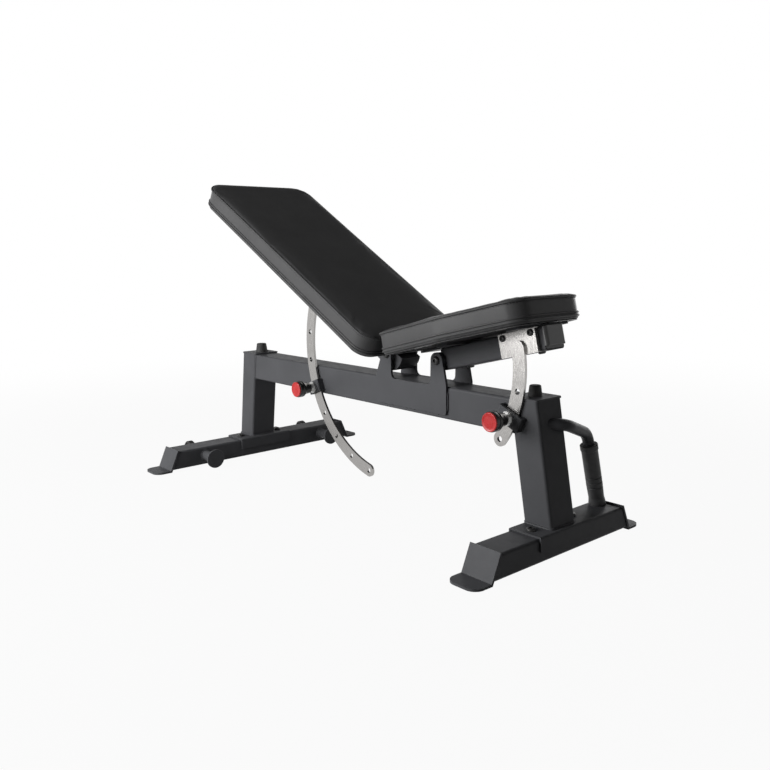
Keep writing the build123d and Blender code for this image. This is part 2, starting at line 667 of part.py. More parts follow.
for half in (back, seat):
    # Hub: thick round sleeve that turns on the hinge bolt. The seat's is welded into its tube's
    # end, the back's into a round lug, flat under the pad, that closes its tube.
    with BuildPart() as hub:
        if half is back:
            with BuildSketch(half.side(0)):
                Circle(lug_radius)
            extrude(amount=support_width / 2, both=True)
            split(bisect_by=half.plan(half.tube_top), keep=Keep.BOTTOM)
            with BuildSketch(half.side(0)):
                Circle(lug_radius - tube_wall)
                with Locations((lug_radius / 2, half.tube_mid)):
                    Rectangle(lug_radius, support_height - 2 * tube_wall)
                with Locations((0, half.tube_top - tube_wall)):
                    Rectangle(
                        4 * lug_radius,
                        2 * lug_radius,
                        align=(Align.CENTER, Align.MAX),
                        mode=Mode.INTERSECT,
                    )
            extrude(amount=support_width / 2 - tube_wall, both=True, mode=Mode.SUBTRACT)
        with BuildSketch(half.side(0)):
            Circle(hub_diameter / 2)
        extrude(amount=half_tube - 0.5, both=True)
        with BuildSketch(half.side(0)):
            Circle(pivot_bolt / 2 + running_gap)
        extrude(amount=half_tube, both=True, mode=Mode.SUBTRACT)
    save(hub, f"{half.name}_hub")

    # Support tube, drilled for the pad bolts and the ladder bolts
    ladder_bolts = [(half.radius - 3.0 + step, half.tube_mid + 16.0) for step in (-37.0, 37.0)]
    with BuildPart() as support:
        with BuildSketch(half.section(6.0, half.tube_mid)):
            RectangleRounded(support_width, support_height, tube_corner)
            RectangleRounded(
                support_width - 2 * tube_wall,
                support_height - 2 * tube_wall,
                tube_corner - tube_wall,
                mode=Mode.SUBTRACT,
            )
        extrude(amount=half.tube_end - 6.0)
        with BuildSketch(half.side(0)):
            Circle(half.end_radius)
        extrude(amount=half_tube, both=True, mode=Mode.SUBTRACT)
        with BuildSketch(half.plan(half.tube_top)):
            with Locations(*[(s, 0) for s in half.bolts_s]):
                Circle(pad_bolt / 2)
        extrude(amount=-support_height, mode=Mode.SUBTRACT)
        with BuildSketch(half.side(-support_width / 2 + tube_wall / 2)):
            with Locations(*ladder_bolts):
                Circle(ladder_bolt / 2)
        extrude(amount=tube_wall, both=True, mode=Mode.SUBTRACT)
    save(support, f"{half.name}_support_tube")

    # Plastic plug in the tube's free end, with a rounded nose less high than the tube
    with BuildPart() as tube_cap:
        with BuildSketch(half.plan(half.tube_top - cap_nose_height)) as nose:
            with Locations((half.tube_end, 0)):
                Rectangle(cap_nose, support_width, align=(Align.MIN, Align.CENTER))
            fillet(nose.vertices().group_by(Axis.X)[-1], radius=cap_nose - 1.0)
        extrude(amount=cap_nose_height)
        nose_levels = tube_cap.edges().group_by(Axis(half.point(0, 0), half.normal))
        fillet(nose_levels[0] + nose_levels[-1], radius=1.5)
        with BuildSketch(half.section(half.tube_end, half.tube_mid)):
            RectangleRounded(
                support_width - 2 * tube_wall - 0.4, support_height - 2 * tube_wall - 0.4, 2.8
            )
        extrude(amount=-plug_depth)
    save(tube_cap, f"{half.name}_tube_cap")

    # Flat cross bars between the tube and the board; under the seat a tongue runs on to its rear end
    with BuildPart() as pad_brackets:
        with BuildSketch(half.plan(half.tube_top)):
            with Locations(*[(s, 0) for s in half.bolts_s]):
                RectangleRounded(pad_bracket_width, half.bracket_length, 8.0)
                Circle(pad_bolt / 2, mode=Mode.SUBTRACT)
            if half is seat:
                with Locations((half.start + tongue_inset, 0)):
                    Rectangle(
                        half.bolts_s[0] - half.start - tongue_inset - pad_bracket_width / 4,
                        support_width,
                        align=(Align.MIN, Align.CENTER),
                    )
        extrude(amount=pad_bracket)
    save(pad_brackets, f"{half.name}_pad_brackets")

    # Bolts from under the tube, through the bars, into the board
    bolt_reach = support_height + pad_bracket + board_thickness - 2.0
    with BuildPart() as pad_bolts:
        under = half.plan(half.tube_top - support_height)
        with BuildSketch(under):
            with Locations(*[(s, 0) for s in half.bolts_s]):
                Circle(pad_bolt)
        extrude(amount=-button_height * pad_bolt)
        head_faces = pad_bolts.faces().group_by(Axis(half.point(0, 0), half.normal))[0]
        chamfer(head_faces.edges(), length=0.3 * pad_bolt)
        with BuildSketch(under):
            with Locations(*[(s, 0) for s in half.bolts_s]):
                Circle(pad_bolt / 2)
        extrude(amount=bolt_reach)
    save(pad_bolts, f"{half.name}_pad_bolts")

    # Plywood board under the foam
    with BuildPart() as board:
        with BuildSketch(half.plan(half.board_h)):
            add(pad_outline(half, board_inset + 0.2))
            with Locations(*[(s, 0) for s in half.bolts_s]):
                Circle(pad_bolt / 2, mode=Mode.SUBTRACT)
        extrude(amount=board_thickness)
    save(board, f"{half.name}_board")

    # Pad: foam under a cover that wraps the board's edge, with a crowned top and a rolled rim.
    # The sides are drawn in between a seam under the rim and two folds near the foot.
    pad_height = board_thickness + half.pad_side
    with BuildPart() as pad:
        with BuildSketch(half.plan(half.board_h)):
            add(pad_outline(half, welt_stand))
        extrude(amount=pad_height + pad_crown)
        rim, peak, reach = pad_height - 1.0, pad_height + pad_crown, 170.0
        with BuildSketch(half.section(half.start, half.board_h)):
            with BuildLine():
                Polyline((-reach, rim), (-reach, 0), (reach, 0), (reach, rim))
                ThreePointArc((reach, rim), (0, peak), (-reach, rim))
            make_face()
        extrude(amount=half.end - half.start, mode=Mode.INTERSECT)
        fillet(pad.faces().sort_by(Axis(half.point(0, 0), half.normal))[-1].edges(), radius=pad_edge)
        for welt_h in (*lower_seams, pad_height - top_seam_drop - welt_height):
            with BuildSketch(half.plan(half.board_h + welt_h)):
                add(pad_outline(half, 0.0))
            extrude(amount=welt_height)
        with BuildSketch(half.plan(half.board_h)):
            add(pad_outline(half, board_inset))
        extrude(amount=board_thickness, mode=Mode.SUBTRACT)
    save(pad, f"{half.name}_pad")

    # Ladder plate, bolted to the side of the tube
    plate_mid_y = -(support_width + ladder_plate) / 2
    with BuildPart() as ladder_mount:
        with BuildSketch(half.side(plate_mid_y)):
            with Locations((half.radius - 3.0, half.tube_mid)):
                Rectangle(97.0, support_height)
            with Locations(*ladder_bolts):
                Circle(ladder_bolt / 2, mode=Mode.SUBTRACT)
        extrude(amount=ladder_plate / 2, both=True)
    save(ladder_mount, f"{half.name}_ladder_plate")

    with BuildPart() as plate_bolts:
        for s, h in ladder_bolts:
            with BuildSketch(Plane(half.point(s, h, ladder_inner_y), z_dir=(0, -1, 0))):
                Circle(0.9 * ladder_bolt)
            extrude(amount=button_height * ladder_bolt)
        chamfer(plate_bolts.faces().group_by(Axis.Y)[0].edges(), length=0.3 * ladder_bolt)
        for s, h in ladder_bolts:
            with BuildSketch(Plane(half.point(s, h, ladder_inner_y), z_dir=(0, 1, 0))):
                Circle(ladder_bolt / 2)
            extrude(amount=ladder_plate + tube_wall + 6.0)
    save(plate_bolts, f"{half.name}_ladder_bolts")

    # Notched ladder: a strap bent to a circle about the hinge, with a row of holes for the pin
    last_notch = first_notch - notch_step * (half.notches - 1)
    top_angle = -2.5
    with BuildPart() as ladder:
        with BuildSketch(half.side(ladder_mid_y)):
            with BuildLine(mode=Mode.PRIVATE) as curve:
                CenterArc((0, 0), half.radius, last_notch, top_angle - last_notch)
            SlotArc(curve.edges()[0], ladder_width)
            with PolarLocations(
                half.radius,
                half.notches,
                start_angle=last_notch,
                angular_range=first_notch - last_notch,
                rotate=False,
                endpoint=True,
            ):
                Circle(notch_hole / 2, mode=Mode.SUBTRACT)
        extrude(amount=ladder_thickness / 2, both=True)
    save(ladder, f"{half.name}_ladder")
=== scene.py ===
from math import atan2, cos, pi, radians, sin

import bmesh
import bpy
from mathutils import Matrix, Vector


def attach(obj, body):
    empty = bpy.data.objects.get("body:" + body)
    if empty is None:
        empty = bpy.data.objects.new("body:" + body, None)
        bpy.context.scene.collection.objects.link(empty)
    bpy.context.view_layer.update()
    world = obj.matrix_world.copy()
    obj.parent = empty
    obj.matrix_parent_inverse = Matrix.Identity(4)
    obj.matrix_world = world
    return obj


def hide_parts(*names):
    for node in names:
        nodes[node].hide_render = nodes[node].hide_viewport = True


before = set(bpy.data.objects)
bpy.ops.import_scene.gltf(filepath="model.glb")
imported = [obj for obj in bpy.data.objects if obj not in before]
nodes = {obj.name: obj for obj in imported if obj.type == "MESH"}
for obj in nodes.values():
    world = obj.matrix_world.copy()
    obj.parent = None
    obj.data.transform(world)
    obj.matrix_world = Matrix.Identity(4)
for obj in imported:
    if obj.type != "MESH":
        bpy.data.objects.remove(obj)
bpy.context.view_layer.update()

scene = bpy.context.scene

# The studio: a pale seamless floor and a white surround that is dark overhead, with one large
# soft panel on the knob side, weaker ones above and behind, and the camera of the photograph.
scene.view_settings.view_transform = "Standard"
sensor, focal_pixels, picture_pixels = 36.0, 787.34, 770.0
eye = (1.5653, -1.2733, 0.6210)
lens = bpy.data.cameras.new("bench_camera")
lens.sensor_width = sensor
lens.lens = sensor * focal_pixels / picture_pixels
camera = bpy.data.objects.new("bench_camera", lens)
scene.collection.objects.link(camera)
yaw, pitch, roll = radians(49.59), radians(-9.64), radians(-0.84)
camera.matrix_world = (
    Matrix.Translation(eye)
    @ Matrix.Rotation(yaw, 4, "Z")
    @ Matrix.Rotation(pi / 2 + pitch, 4, "X")
    @ Matrix.Rotation(roll, 4, "Z")
)
scene.camera = camera


def softbox(name, place, aim, width, height, power):
    lamp = bpy.data.lights.new(name, "AREA")
    lamp.shape = "RECTANGLE"
    lamp.size, lamp.size_y = width, height
    lamp.energy = power
    holder = bpy.data.objects.new(name, lamp)
    holder.location = place
    holder.rotation_euler = (Vector(aim) - Vector(place)).to_track_quat("-Z", "Y").to_euler()
    scene.collection.objects.link(holder)


softbox("knob_side_panel", (-0.5, -1.9, 0.9), (0.3, 0.0, 0.30), 1.8, 1.1, 65.0)
softbox("overhead_panel", (0.3, -0.3, 2.8), (0.0, 0.0, 0.3), 2.4, 1.6, 3.0)
softbox("far_side_panel", (0.0, 2.6, 1.0), (0.0, 0.0, 0.35), 2.0, 1.4, 20.0)


def seen_rays(tree):
    """One for what is looked at, straight or in a shine; none for light on its way to a surface."""
    path = tree.nodes.new("ShaderNodeLightPath")
    total = path.outputs["Is Camera Ray"]
    for kind in ("Is Glossy Ray", "Is Transmission Ray"):
        either = tree.nodes.new("ShaderNodeMath")
        either.operation = "MAXIMUM"
        tree.links.new(total, either.inputs[0])
        tree.links.new(path.outputs[kind], either.inputs[1])
        total = either.outputs[0]
    return total


horizon, ceiling, ceiling_grey = 0.31, 0.42, 0.12
surround_light, surround_seen = 0.05, 1.0
world = bpy.data.worlds.new("white_surround")
scene.world = world
world.use_nodes = True
tree = world.node_tree
surround = tree.nodes["Background"]
sight = tree.nodes.new("ShaderNodeTexCoord")
parts = tree.nodes.new("ShaderNodeSeparateXYZ")
tree.links.new(sight.outputs["Generated"], parts.inputs["Vector"])
height = tree.nodes.new("ShaderNodeValToRGB")
height.color_ramp.elements[0].position = horizon
height.color_ramp.elements[0].color = (1, 1, 1, 1)
height.color_ramp.elements[1].position = ceiling
height.color_ramp.elements[1].color = (ceiling_grey, ceiling_grey, ceiling_grey, 1)
tree.links.new(parts.outputs["Z"], height.inputs["Fac"])
tree.links.new(height.outputs["Color"], surround.inputs["Color"])
level = tree.nodes.new("ShaderNodeMapRange")
level.inputs["To Min"].default_value = surround_light
level.inputs["To Max"].default_value = surround_seen
tree.links.new(seen_rays(tree), level.inputs["Value"])
tree.links.new(level.outputs["Result"], surround.inputs["Strength"])

floor_reach, floor_level, floor_grey = 40.0, -0.0003, 0.25
shade_ends, white_starts, near_white = 0.9, 3.2, 0.945
floor_shape = bmesh.new()
bmesh.ops.create_grid(
    floor_shape, x_segments=1, y_segments=1, size=floor_reach,
    matrix=Matrix.Translation((0, 0, floor_level)),
)
floor_mesh = bpy.data.meshes.new("floor")
floor_shape.to_mesh(floor_mesh)
floor_shape.free()
studio_floor = bpy.data.objects.new("floor", floor_mesh)
scene.collection.objects.link(studio_floor)
pale = bpy.data.materials.new("pale_floor")
pale.use_nodes = True
tree = pale.node_tree
tree.nodes.clear()
place = tree.nodes.new("ShaderNodeTexCoord")
away = tree.nodes.new("ShaderNodeVectorMath")
away.operation = "LENGTH"
tree.links.new(place.outputs["Object"], away.inputs[0])
fade = tree.nodes.new("ShaderNodeMapRange")
fade.interpolation_type = "SMOOTHSTEP"
fade.inputs["From Min"].default_value = shade_ends
fade.inputs["From Max"].default_value = white_starts
fade.inputs["To Min"].default_value = near_white
fade.inputs["To Max"].default_value = 1.0
tree.links.new(away.outputs["Value"], fade.inputs["Value"])
share = tree.nodes.new("ShaderNodeMath")
share.operation = "MULTIPLY"
tree.links.new(seen_rays(tree), share.inputs[0])
tree.links.new(fade.outputs["Result"], share.inputs[1])
matte = tree.nodes.new("ShaderNodeBsdfDiffuse")
matte.inputs["Color"].default_value = (floor_grey, floor_grey, floor_grey, 1)
glow = tree.nodes.new("ShaderNodeEmission")
glow.inputs["Strength"].default_value = 1.0
pick = tree.nodes.new("ShaderNodeMixShader")
tree.links.new(share.outputs[0], pick.inputs[0])
tree.links.new(matte.outputs[0], pick.inputs[1])
tree.links.new(glow.outputs[0], pick.inputs[2])
sheet_out = tree.nodes.new("ShaderNodeOutputMaterial")
tree.links.new(pick.outputs[0], sheet_out.inputs["Surface"])
floor_mesh.materials.append(pale)

# Frame tubes and plates: welded steel under a satin black powder coat, which has a faint
# orange-peel skin and a little grey dust in its grain.
def plain_finish(name, colour, rough, metal=0.0, specular=0.5):
    made = bpy.data.materials.new(name)
    made.use_nodes = True
    skin = made.node_tree.nodes["Principled BSDF"]
    skin.inputs["Base Color"].default_value = (*colour, 1)
    skin.inputs["Roughness"].default_value = rough
    skin.inputs["Metallic"].default_value = metal
    skin.inputs["Specular IOR Level"].default_value = specular
    return made


def grain(made, scale, detail=4.0, stretch=(1, 1, 1)):
    links = made.node_tree.links
    make = made.node_tree.nodes.new
    place = make("ShaderNodeTexCoord")
    lay = make("ShaderNodeMapping")
    lay.inputs["Scale"].default_value = stretch
    links.new(place.outputs["Object"], lay.inputs["Vector"])
    noise = make("ShaderNodeTexNoise")
    noise.inputs["Scale"].default_value = scale
    noise.inputs["Detail"].default_value = detail
    links.new(lay.outputs["Vector"], noise.inputs["Vector"])
    return noise.outputs["Fac"]


grain_low, grain_high = 0.3, 0.7


def spread(made, value, socket, low, high):
    """Drives one shader socket between two values by a texture."""
    links = made.node_tree.links
    ramp = made.node_tree.nodes.new("ShaderNodeMapRange")
    ramp.inputs["From Min"].default_value = grain_low
    ramp.inputs["From Max"].default_value = grain_high
    ramp.inputs["To Min"].default_value = low
    ramp.inputs["To Max"].default_value = high
    links.new(value, ramp.inputs["Value"])
    links.new(ramp.outputs["Result"], made.node_tree.nodes["Principled BSDF"].inputs[socket])


def tint(made, value, low, high):
    """Varies the base colour between two colours by a texture."""
    links = made.node_tree.links
    ramp = made.node_tree.nodes.new("ShaderNodeValToRGB")
    ramp.color_ramp.elements[0].position = 0.3
    ramp.color_ramp.elements[1].position = 0.72
    ramp.color_ramp.elements[0].color = (*low, 1)
    ramp.color_ramp.elements[1].color = (*high, 1)
    links.new(value, ramp.inputs["Fac"])
    links.new(ramp.outputs["Color"], made.node_tree.nodes["Principled BSDF"].inputs["Base Color"])


def relief(made, value, strength, depth):
    """Raises the surface by a texture; calls add up."""
    links = made.node_tree.links
    skin = made.node_tree.nodes["Principled BSDF"]
    bump = made.node_tree.nodes.new("ShaderNodeBump")
    bump.inputs["Strength"].default_value = strength
    bump.inputs["Distance"].default_value = depth
    links.new(value, bump.inputs["Height"])
    for link in skin.inputs["Normal"].links:
        links.new(link.from_socket, bump.inputs["Normal"])
    links.new(bump.outputs["Normal"], skin.inputs["Normal"])


def dress(made, *names):
    for name in names:
        for slot in nodes[name].material_slots:
            slot.material = made


powder_coat = plain_finish("satin_powder_coat", (0.068, 0.069, 0.074), 0.42, specular=0.07)
tint(powder_coat, grain(powder_coat, 9.0, 6.0), (0.062, 0.063, 0.067), (0.075, 0.076, 0.081))
spread(powder_coat, grain(powder_coat, 60.0, 5.0), "Roughness", 0.38, 0.48)
relief(powder_coat, grain(powder_coat, 850.0, 2.0), 0.22, 0.0004)
dress(
    powder_coat, "main_beam", "rear_post", "front_post", "rear_post_cap", "front_post_cap",
    "rear_stabiliser", "front_stabiliser", "rear_saddle", "front_saddle", "rear_left_foot",
    "rear_right_foot", "front_left_foot", "front_right_foot", "left_pivot_plate",
    "right_pivot_plate", "back_ladder_guide", "seat_ladder_guide", "carry_handle", "band_pegs",
    "wheel_brackets", "back_support_tube", "seat_support_tube", "back_pad_brackets",
    "seat_pad_brackets", "back_hub", "seat_hub",
)

# Weld beads where the posts stand on their saddles, where the beam meets the posts and round
# the pegs: a laid bead of steel with small ripples, painted over with the frame.
def piece(name, shape, made, body):
    mesh = bpy.data.meshes.new(name)
    shape.to_mesh(mesh)
    shape.free()
    mesh.materials.append(made)
    mesh.shade_smooth()
    thing = bpy.data.objects.new(name, mesh)
    scene.collection.objects.link(thing)
    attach(thing, body)
    return thing


def walk(points, pitch):
    """Even steps round a closed run of straight lines."""
    ends = points[1:] + points[:1]
    total = sum((end - start).length for start, end in zip(points, ends))
    count = round(total / pitch)
    steps, gone = [], 0.0
    for start, end in zip(points, ends):
        far = (end - start).length
        while len(steps) < count and len(steps) * total / count < gone + far:
            steps.append(start.lerp(end, (len(steps) * total / count - gone) / far))
        gone += far
    return steps


def rope_of(shape, points, radius, closed, ripple=0.0, sides=2):
    """Adds a round bead along the points to a bmesh; ripple makes every other ring thinner."""
    line = bpy.data.curves.new("bead", "CURVE")
    line.dimensions = "3D"
    line.bevel_depth = radius
    line.bevel_resolution = sides
    line.use_fill_caps = not closed
    run = line.splines.new("POLY")
    run.points.add(len(points) - 1)
    run.use_cyclic_u = closed
    for i, (spot, at) in enumerate(zip(run.points, points)):
        spot.co = (*at, 1)
        spot.radius = 1.0 - ripple * (i % 2)
    holder = bpy.data.objects.new("bead", line)
    scene.collection.objects.link(holder)
    mesh = bpy.data.meshes.new_from_object(holder)
    shape.from_mesh(mesh)
    bpy.data.objects.remove(holder)
    bpy.data.curves.remove(line)
    bpy.data.meshes.remove(mesh)


rear_x, front_x = -0.54775, 0.59725
weld_size, thin_bead, bead_step, ripple = 0.0032, 0.0026, 0.0035, 0.16
deep, wide, cut = 0.0355, 0.040, 0.005
saddle_top, post_start, post_half = 0.0615, 0.057, 0.0353
beam_side, beam_low, beam_high, beam_cut = 0.0365, 0.243, 0.318, 0.006
welds = bmesh.new()
for middle, lean in ((rear_x - 0.0104, 0.14), (front_x - 0.005, -0.17)):
    foot = middle + lean * 0.004
    ring = [
        Vector((foot + x, y, saddle_top))
        for x, y in (
            (-deep, cut - wide), (cut - deep, -wide), (deep - cut, -wide), (deep, cut - wide),
            (deep, wide - cut), (deep - cut, wide), (cut - deep, wide), (-deep, wide - cut),
        )
    ]
    rope_of(welds, walk(ring, bead_step), weld_size, True, ripple)
    inner = 1 if lean > 0 else -1
    face = [
        Vector((middle + inner * post_half + lean * (z - post_start), y, z))
        for y, z in (
            (-beam_side, beam_low + beam_cut), (-beam_side, beam_high - beam_cut),
            (cut - beam_side, beam_high), (beam_side - cut, beam_high),
            (beam_side, beam_high - beam_cut), (beam_side, beam_low + beam_cut),
            (beam_side - cut, beam_low), (cut - beam_side, beam_low),
        )
    ]
    rope_of(welds, walk(face, bead_step), weld_size, True, ripple)
peg_side, peg_start, peg_height, peg_ring, peg_bead, peg_steps = 0.209, 0.0385, 0.033, 0.0146, 0.0024, 40
for y in (-peg_side, peg_side):
    root = [
        Vector((rear_x + peg_start, y + peg_ring * cos(a), peg_height + peg_ring * sin(a)))
        for a in (i * 2 * pi / peg_steps for i in range(peg_steps))
    ]
    rope_of(welds, root, peg_bead, True, ripple)
plate_side, plate_foot, plate_low, stitch_step = 0.038556, 0.2535, 0.266, 0.0032
for y in (-plate_side, plate_side):
    for start in (0.655, 0.735, 0.815):
        lay = [Vector((rear_x + start + stitch_step * i, y, plate_foot)) for i in range(12)]
        rope_of(welds, lay, thin_bead, False, ripple)
    for x in (0.6355, 0.8795):
        lay = [Vector((rear_x + x, y, plate_low + stitch_step * i)) for i in range(13)]
        rope_of(welds, lay, thin_bead, False, ripple)
bmesh.ops.recalc_face_normals(welds, faces=welds.faces)
piece("frame_welds", welds, powder_coat, "frame")

# Bolts: black oxide steel with domed button heads, each with a hexagon socket for a key.
# Four hold the saddles, one is in each hinge, and two each hold the ladder plates and the pads.
black_oxide = plain_finish("black_oxide_steel", (0.022, 0.022, 0.023), 0.34, specular=0.3)
tint(black_oxide, grain(black_oxide, 320.0), (0.016, 0.016, 0.017), (0.032, 0.031, 0.030))
spread(black_oxide, grain(black_oxide, 500.0), "Roughness", 0.28, 0.44)
relief(black_oxide, grain(black_oxide, 2600.0, 2.0), 0.1, 0.0002)


def turned(profile, steps):
    """A shape turned about Z from (radius, height) points, open where the profile is."""
    shape = bmesh.new()
    line = [shape.verts.new((r, 0, z)) for r, z in profile]
    edges = [shape.edges.new(pair) for pair in zip(line, line[1:])]
    bmesh.ops.spin(
        shape, geom=line + edges, axis=(0, 0, 1), cent=(0, 0, 0), angle=2 * pi, steps=steps, use_merge=True
    )
    bmesh.ops.remove_doubles(shape, verts=shape.verts, dist=1e-6)
    bmesh.ops.holes_fill(shape, edges=[e for e in shape.edges if e.is_boundary], sides=0)
    bmesh.ops.recalc_face_normals(shape, faces=shape.faces)
    return shape


def button_bolt(radius, height, shank, length):
    """A button-head bolt with its seat at z = 0 and its shank below, as a mesh."""
    rim = height * 0.3
    sweep = [radians(a) for a in (0, 25, 50, 72, 90)]
    profile = [(shank, -length), (shank, 0.0), (radius, 0.0)]
    profile += [(radius * (0.55 + 0.45 * cos(a)), rim + (height - rim) * sin(a)) for a in sweep]
    bolt = turned(profile, 36)
    crown = max(bolt.faces, key=lambda f: f.calc_center_median().z)
    bmesh.ops.inset_region(bolt, faces=[crown], thickness=radius * 0.08)
    flat = radius * 0.4
    for v in crown.verts:
        turn = atan2(v.co.y, v.co.x)
        reach = flat / cos(turn % (pi / 3) - pi / 6)
        v.co.x, v.co.y = reach * cos(turn), reach * sin(turn)
    sunk = bmesh.ops.extrude_discrete_faces(bolt, faces=[crown])["faces"][0]
    bmesh.ops.translate(bolt, verts=sunk.verts[:], vec=(0, 0, -height * 0.6))
    bmesh.ops.recalc_face_normals(bolt, faces=bolt.faces)
    return as_mesh(bolt)


def as_mesh(shape):
    mesh = bpy.data.meshes.new("pattern")
    shape.to_mesh(mesh)
    shape.free()
    return mesh


def set_in(shape, mesh, place, axis):
    """Adds a copy of a mesh made along +Z to a bmesh, standing at place along axis."""
    swing = Vector((0, 0, 1)).rotation_difference(Vector(axis)).to_matrix().to_4x4()
    before = len(shape.verts)
    shape.from_mesh(mesh)
    shape.verts.ensure_lookup_table()
    fresh = shape.verts[before:]
    bmesh.ops.transform(shape, matrix=Matrix.Translation(place) @ swing, verts=fresh)


def crease(thing):
    """Keeps edges crisp where faces meet at a steep angle."""
    thing.data.set_sharp_from_angle(angle=radians(38))


def fasten(name, bolt, places, axis, body, stands_for):
    shape = bmesh.new()
    for place in places:
        set_in(shape, bolt, place, axis)
    bolts = piece(name, shape, black_oxide, body)
    crease(bolts)
    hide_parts(stands_for)


saddle_bolt = button_bolt(0.010, 0.0052, 0.005, 0.012)
saddle_spots = [(x, y, 0.061) for x in (rear_x, front_x) for y in (-0.067, 0.067)]
fasten("saddle_bolt_heads", saddle_bolt, saddle_spots, (0, 0, 1), "frame", "saddle_bolts")

back_pivot = Vector((rear_x + 0.675, 0, 0.376))
seat_pivot = Vector((rear_x + 0.848, 0, 0.376))
hinge_spots = [hinge + Vector((0, -0.0435, 0)) for hinge in (back_pivot, seat_pivot)]
hinge_bolt = button_bolt(0.0102, 0.0064, 0.00595, 0.098)
fasten("hinge_bolts", hinge_bolt, hinge_spots, (0, -1, 0), "frame", "pivot_bolts")


def half_frame(pivot, turn, sense):
    """From a half's own axes (along it, across it, up from its pad) to the bench."""
    along = Vector((sense * cos(turn), 0, sin(turn)))
    up = Vector((-sense * sin(turn), 0, cos(turn)))
    across = up.cross(along)
    return Matrix.Translation(pivot) @ Matrix((along, across, up)).transposed().to_4x4()


back_frame = half_frame(back_pivot, radians(29.5), -1)
seat_frame = half_frame(seat_pivot, radians(13.8), 1)
for name, body, frame_of, reach, tube_top, pad_spots in (
    ("back", "backrest", back_frame, 0.311, 0.012, (0.110, 0.560)),
    ("seat", "seat", seat_frame, 0.240, 0.025, (0.062, 0.265)),
):
    plate_spots = [
        frame_of @ Vector((reach + step, 0, tube_top - 0.009)) + Vector((0, -0.041, 0))
        for step in (-0.037, 0.037)
    ]
    fasten(
        f"{name}_plate_bolts", button_bolt(0.0072, 0.0044, 0.004, 0.020), plate_spots,
        (0, -1, 0), body, f"{name}_ladder_bolts",
    )
    fasten(
        f"{name}_cushion_bolts", button_bolt(0.008, 0.0044, 0.004, 0.066),
        [frame_of @ Vector((spot, 0, tube_top - 0.050)) for spot in pad_spots],
        -frame_of.col[2].xyz, body, f"{name}_pad_bolts",
    )

# Lock nuts on the far side of the hinges: zinc-plated hexagons with chamfered corners and a
# collar pressed into the end, which stands for the nylon insert but shares the zinc finish.
zinc = plain_finish("zinc_plated_steel", (0.46, 0.46, 0.45), 0.34, metal=1.0)
tint(zinc, grain(zinc, 240.0, 6.0), (0.40, 0.40, 0.39), (0.54, 0.54, 0.54))
spread(zinc, grain(zinc, 700.0), "Roughness", 0.28, 0.44)
relief(zinc, grain(zinc, 1800.0, 2.0), 0.08, 0.0002)
shape = bmesh.new()
for hinge in (back_pivot, seat_pivot):
    nut = bmesh.new()
    bmesh.ops.create_cone(
        nut, cap_ends=True, segments=6, radius1=0.01097, radius2=0.01097, depth=0.009
    )
    rims = [e for e in nut.edges if abs(e.verts[0].co.z - e.verts[1].co.z) < 1e-6]
    bmesh.ops.bevel(nut, geom=rims, offset=0.0008, segments=2, affect="EDGES", profile=0.5, material=-1)
    collar = bmesh.ops.create_cone(
        nut, cap_ends=True, segments=32, radius1=0.0088, radius2=0.0078, depth=0.003
    )["verts"]
    bmesh.ops.translate(nut, verts=collar, vec=(0, 0, 0.0055))
    set_in(shape, as_mesh(nut), hinge + Vector((0, 0.048, 0)), (0, 1, 0))
nuts = piece("hinge_lock_nuts", shape, zinc, "frame")
crease(nuts)
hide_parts("pivot_nuts")

# The boards under the pads: plywood with black dust cloth of a plain, coarse weave stretched
# over it, bolted to the cross bars of each half.
dust_cloth = plain_finish("black_dust_cloth", (0.022, 0.022, 0.023), 0.85, specular=0.12)
links = dust_cloth.node_tree.links
place = dust_cloth.node_tree.nodes.new("ShaderNodeTexCoord")
for direction in ("X", "Y"):
    thread = dust_cloth.node_tree.nodes.new("ShaderNodeTexWave")
    thread.bands_direction = direction
    thread.inputs["Scale"].default_value = 260.0
    thread.inputs["Distortion"].default_value = 0.6
    links.new(place.outputs["Object"], thread.inputs["Vector"])
    relief(dust_cloth, thread.outputs["Fac"], 0.35, 0.0003)
tint(dust_cloth, grain(dust_cloth, 500.0), (0.016, 0.016, 0.017), (0.030, 0.030, 0.031))
dress(dust_cloth, "back_board", "seat_board")

# The two cushions: dense foam on the boards under black vinyl, boxed with a side band. A corded
# seam runs round under the top edge, and the band is pulled down and folded round the board.
vinyl = plain_finish("black_vinyl", (0.058, 0.058, 0.059), 0.36, specular=0.14)
tint(vinyl, grain(vinyl, 14.0, 5.0), (0.053, 0.053, 0.054), (0.063, 0.063, 0.064))
spread(vinyl, grain(vinyl, 35.0, 5.0), "Roughness", 0.345, 0.395)
pebble = vinyl.node_tree.nodes.new("ShaderNodeTexVoronoi")
pebble.feature = "SMOOTH_F1"
pebble.inputs["Scale"].default_value = 900.0
place = vinyl.node_tree.nodes.new("ShaderNodeTexCoord")
vinyl.node_tree.links.new(place.outputs["Object"], pebble.inputs["Vector"])
relief(vinyl, pebble.outputs["Distance"], 0.16, 0.0003)
relief(vinyl, grain(vinyl, 90.0, 3.0), 0.06, 0.0010)

draw_in = 0.0012


